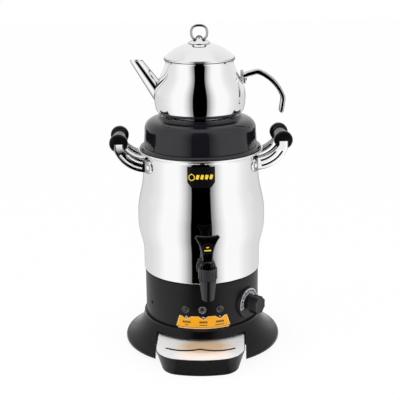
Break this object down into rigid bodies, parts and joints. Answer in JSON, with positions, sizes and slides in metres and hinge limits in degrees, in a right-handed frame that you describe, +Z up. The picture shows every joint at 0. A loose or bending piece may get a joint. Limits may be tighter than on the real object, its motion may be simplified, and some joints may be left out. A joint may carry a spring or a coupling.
{
  "type": "tea urn",
  "caption": "Electric tea urn: bellied polished steel boiler with lever tap, dial thermostat and drip tray on a flared black base, teapot with ring lid seated on the boiler's cover",
  "frame": {"origin": "on the boiler's vertical axis, in the plane that the rubber foot stands on", "axes": "+Z up along the boiler's axis, -Y to the front where the tap and drip tray are, +X to the right as seen from the front, towards the teapot's handle"},
  "size_m": [0.3436, 0.3455, 0.6189],
  "materials": {
    "polished_steel": "mirror-polished stainless steel",
    "brushed_plate": "brushed stainless sheet",
    "plain_steel": "plain zinc-plated steel",
    "black_enamel": "satin black enamel on sheet steel",
    "black_plastic": "satin black heat-proof plastic",
    "black_bakelite": "polished black phenolic moulding",
    "rubber": "matte",
    "silicone": "matte heat-proof silicone",
    "brass": "turned",
    "sheath": "oxidised heater sheath",
    "label_orange": "printed label film",
    "smoked_lens": "smoked clear moulding",
    "badge_black": "lacquered plate",
    "ceramic": "glazed insulating block"
  },
  "bodies": {
    "boiler": {"foot_strip": "rubber", "base_pan": "black_enamel", "base_skirt": "black_plastic", "base_screws": "plain_steel", "base_casing": "black_enamel", "casing_screws": "plain_steel", "heat_shield": "plain_steel", "tank_seal": "silicone", "boiler_tank": "polished_steel", "heating_element": "sheath", "element_bushes": "brass", "element_gaskets": "silicone", "element_nuts": "brass", "tie_rod": "plain_steel", "tie_nut": "plain_steel", "overheat_cutout": "ceramic", "front_badge": "badge_black", "dial_bezel": "black_plastic", "thermostat_body": "plain_steel", "thermostat_screws": "plain_steel", "capillary_tube": "plain_steel", "lamp_bezels": "black_plastic", "lamp_lenses": "smoked_lens", "lamp_bodies": "ceramic", "label_plate": "label_orange", "cable_gland": "rubber", "terminal_block": "ceramic", "tap_body": "black_plastic", "tap_washers": "silicone", "tap_nut": "black_plastic", "tap_bonnet": "black_plastic", "tap_spring": "plain_steel", "arm_right_front": "polished_steel", "arm_right_rear": "polished_steel", "arm_left_front": "polished_steel", "arm_left_rear": "polished_steel", "grip_right": "black_bakelite", "grip_left": "black_bakelite", "grip_rods": "plain_steel", "arm_rivets": "polished_steel"},
    "thermostat_dial": {"thermostat_knob": "black_plastic", "thermostat_shaft": "plain_steel"},
    "tap_valve": {"tap_stem": "plain_steel", "valve_plug": "silicone", "tap_pin": "plain_steel"},
    "tap_handle": {"tap_lever": "black_plastic", "tap_emblem": "badge_black"},
    "tray": {"drip_tray": "black_plastic"},
    "tray_plate": {"drip_plate": "brushed_plate"},
    "cover": {"boiler_cover": "black_bakelite"},
    "teapot": {"teapot_body": "polished_steel", "teapot_spout": "polished_steel", "teapot_bracket": "polished_steel", "teapot_handle": "polished_steel", "strap_screw": "plain_steel"},
    "teapot_lid": {"lid_shell": "polished_steel", "lid_pedestal": "polished_steel", "lid_saucer": "polished_steel", "lid_ring": "polished_steel", "lid_screw": "plain_steel"}
  },
  "joints": [
    {"name": "dial_turn", "type": "hinge", "parent": "boiler", "child": "thermostat_dial", "pos_m": [0.09968, -0.07788, 0.0988], "axis": [0.788, -0.6157, 0], "range_deg": [-270, 0]},
    {"name": "valve_lift", "type": "slide", "parent": "boiler", "child": "tap_valve", "axis": [0, 0, 1], "range_m": [0, 0.0028], "stiffness_N_per_m": 500, "deforming": ["tap_spring"]},
    {"name": "lever_pull", "type": "hinge", "parent": "tap_valve", "child": "tap_handle", "pos_m": [0.0106, -0.15965, 0.2086], "axis": [0.9978, 0.0663, 0], "range_deg": [0, 71]},
    {"name": "tray_draw", "type": "slide", "parent": "boiler", "child": "tray", "axis": [-0.0314, -0.9995, 0], "range_m": [0, 0.12]},
    {"name": "plate_lift", "type": "slide", "parent": "tray", "child": "tray_plate", "axis": [0, 0, 1], "range_m": [0, 0.006]},
    {"name": "cover_lift", "type": "slide", "parent": "boiler", "child": "cover", "axis": [0, 0, 1], "range_m": [0, 0.25]},
    {"name": "teapot_lift", "type": "slide", "parent": "cover", "child": "teapot", "axis": [0, 0, 1], "range_m": [0, 0.2]},
    {"name": "lid_lift", "type": "slide", "parent": "teapot", "child": "teapot_lid", "axis": [0, 0, 1], "range_m": [0, 0.1]}
  ],
  "couplings": [
    {"joint": "lever_pull", "follows": "valve_lift", "rad_per_m": 434.78}
  ]
}
